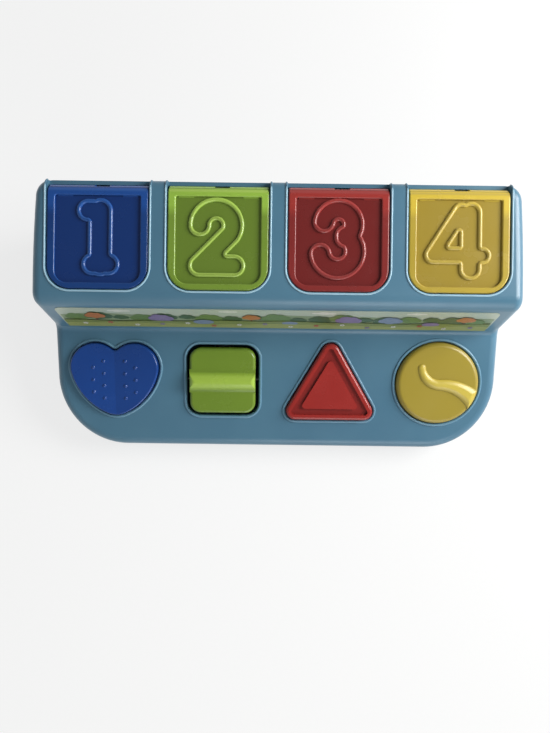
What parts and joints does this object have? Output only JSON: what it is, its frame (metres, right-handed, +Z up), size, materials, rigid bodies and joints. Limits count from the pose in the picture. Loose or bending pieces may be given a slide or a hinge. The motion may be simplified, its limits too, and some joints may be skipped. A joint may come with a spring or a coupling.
{
  "type": "pop-up toy",
  "caption": "Low moulded pop-up toy with a row of sprung numbered lids on a raised back deck, each released by a differently shaped control on the sloping front deck.",
  "frame": {"origin": "under the middle of the outline, on the plane the feet stand on", "axes": "+X to the right of the child playing with it, +Y away from the child, +Z up"},
  "size_m": [0.29, 0.156, 0.0921],
  "materials": {
    "body_plastic": "satin moulded",
    "base_plastic": "moulded, fine grain",
    "tray_plastic": "moulded",
    "latch_plastic": "moulded",
    "printed_strip": "printed film",
    "foot_rubber": "moulded",
    "steel": "drawn",
    "blue_plastic": "gloss moulded",
    "green_plastic": "gloss moulded",
    "red_plastic": "gloss moulded",
    "yellow_plastic": "gloss moulded",
    "zebra_plastic": "moulded and painted",
    "lion_plastic": "moulded and painted",
    "elephant_plastic": "moulded and painted",
    "hippo_plastic": "moulded and painted"
  },
  "bodies": {
    "body": {"top_housing": "body_plastic", "base_plate": "base_plastic", "base_screws": "steel", "feet": "foot_rubber", "inner_tray": "tray_plastic", "riser_strip": "printed_strip", "rocker_pin": "steel", "hinge_pin_1": "steel", "latch_pin_1": "steel", "lid_spring_1": "steel", "latch_spring_1": "steel", "hinge_pin_2": "steel", "latch_pin_2": "steel", "lid_spring_2": "steel", "latch_spring_2": "steel", "hinge_pin_3": "steel", "latch_pin_3": "steel", "lid_spring_3": "steel", "latch_spring_3": "steel", "hinge_pin_4": "steel", "latch_pin_4": "steel", "lid_spring_4": "steel", "latch_spring_4": "steel"},
    "lid_1_with_figure": {"lid_1": "blue_plastic", "zebra_figure": "zebra_plastic"},
    "lid_2_with_figure": {"lid_2": "green_plastic", "lion_figure": "lion_plastic"},
    "lid_3_with_figure": {"lid_3": "red_plastic", "elephant_figure": "elephant_plastic"},
    "lid_4_with_figure": {"lid_4": "yellow_plastic", "hippo_figure": "hippo_plastic"},
    "heart_button_body": {"heart_button": "blue_plastic"},
    "square_rocker_body": {"square_rocker": "green_plastic"},
    "triangle_button_body": {"triangle_button": "red_plastic"},
    "round_dial_body": {"round_dial": "yellow_plastic"},
    "latch_1_body": {"latch_1": "latch_plastic"},
    "latch_2_body": {"latch_2": "latch_plastic"},
    "latch_3_body": {"latch_3": "latch_plastic"},
    "latch_4_body": {"latch_4": "latch_plastic"}
  },
  "joints": [
    {"name": "lid_1_hinge", "type": "hinge", "parent": "body", "child": "lid_1_with_figure", "pos_m": [-0.10575, 0.06885, 0.08478], "axis": [-1, 0, 0], "range_deg": [0, 100], "deforming": ["lid_spring_1"]},
    {"name": "lid_2_hinge", "type": "hinge", "parent": "body", "child": "lid_2_with_figure", "pos_m": [-0.03525, 0.06885, 0.08478], "axis": [-1, 0, 0], "range_deg": [0, 100], "deforming": ["lid_spring_2"]},
    {"name": "lid_3_hinge", "type": "hinge", "parent": "body", "child": "lid_3_with_figure", "pos_m": [0.03525, 0.06885, 0.08478], "axis": [-1, 0, 0], "range_deg": [0, 100], "deforming": ["lid_spring_3"]},
    {"name": "lid_4_hinge", "type": "hinge", "parent": "body", "child": "lid_4_with_figure", "pos_m": [0.10575, 0.06885, 0.08478], "axis": [-1, 0, 0], "range_deg": [0, 100], "deforming": ["lid_spring_4"]},
    {"name": "heart_push", "type": "slide", "parent": "body", "child": "heart_button_body", "axis": [0, 0.2756, -0.9613], "range_m": [0, 0.0024], "stiffness_N_per_m": 250, "springref_m": -0.004, "deforming": ["latch_spring_1"]},
    {"name": "square_tilt", "type": "hinge", "parent": "body", "child": "square_rocker_body", "pos_m": [-0.03525, -0.03349, 0.02644], "axis": [1, 0, 0], "range_deg": [0, 10], "stiffness_Nm_per_rad": 0.05, "springref_deg": -17.19, "deforming": ["latch_spring_2"]},
    {"name": "triangle_push", "type": "slide", "parent": "body", "child": "triangle_button_body", "axis": [0, 0.2756, -0.9613], "range_m": [0, 0.0024], "stiffness_N_per_m": 250, "springref_m": -0.004, "deforming": ["latch_spring_3"]},
    {"name": "dial_turn", "type": "hinge", "parent": "body", "child": "round_dial_body", "pos_m": [0.10575, -0.0357, 0.03413], "axis": [0, 0.2756, -0.9613], "range_deg": [0, 60], "stiffness_Nm_per_rad": 0.02, "springref_deg": -28.65, "deforming": ["latch_spring_4"]},
    {"name": "latch_1_tilt", "type": "hinge", "parent": "body", "child": "latch_1_body", "pos_m": [-0.10575, 0.00249, 0.03155], "axis": [1, 0, 0], "range_deg": [0, 3.84]},
    {"name": "latch_2_tilt", "type": "hinge", "parent": "body", "child": "latch_2_body", "pos_m": [-0.03525, 0.00249, 0.03155], "axis": [1, 0, 0], "range_deg": [0, 2.79]},
    {"name": "latch_3_tilt", "type": "hinge", "parent": "body", "child": "latch_3_body", "pos_m": [0.03525, 0.00249, 0.03155], "axis": [1, 0, 0], "range_deg": [0, 3.84]},
    {"name": "latch_4_tilt", "type": "hinge", "parent": "body", "child": "latch_4_body", "pos_m": [0.10575, 0.00249, 0.03155], "axis": [1, 0, 0], "range_deg": [0, 3.66]}
  ],
  "couplings": [
    {"joint": "latch_1_tilt", "follows": "heart_push", "rad_per_m": 27.87},
    {"joint": "latch_2_tilt", "follows": "square_tilt", "ratio": 0.278},
    {"joint": "latch_3_tilt", "follows": "triangle_push", "rad_per_m": 27.87},
    {"joint": "latch_4_tilt", "follows": "dial_turn", "ratio": 0.0609}
  ]
}
